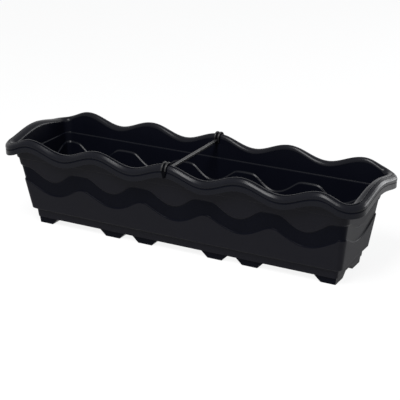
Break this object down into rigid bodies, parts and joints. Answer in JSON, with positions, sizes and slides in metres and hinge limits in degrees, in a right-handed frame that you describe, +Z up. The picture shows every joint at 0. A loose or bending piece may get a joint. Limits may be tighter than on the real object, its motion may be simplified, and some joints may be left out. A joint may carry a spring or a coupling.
{
  "type": "window box planter",
  "caption": "Long open trough for plants with a wavy rolled rim, a wavy recessed band round its walls, short feet and a slim cross brace clipped over the rim.",
  "frame": {"origin": "under the middle of the box, on the plane that its feet stand on", "axes": "+X along the box's length, +Y across it away from the picture's viewer, +Z up"},
  "size_m": [0.806, 0.2486, 0.2073],
  "materials": {
    "trough_plastic": "near-black moulded plastic, fine grain on the wall panels and satin in the recessed band and on the rim",
    "brace_plastic": "near-black moulded plastic, satin"
  },
  "bodies": {
    "trough": {"trough": "trough_plastic"},
    "cross_brace": {"cross_brace": "brace_plastic"}
  },
  "joints": [
    {"name": "brace_lift", "type": "slide", "parent": "trough", "child": "cross_brace", "axis": [0, 0, 1], "range_m": [0, 0.06]}
  ]
}
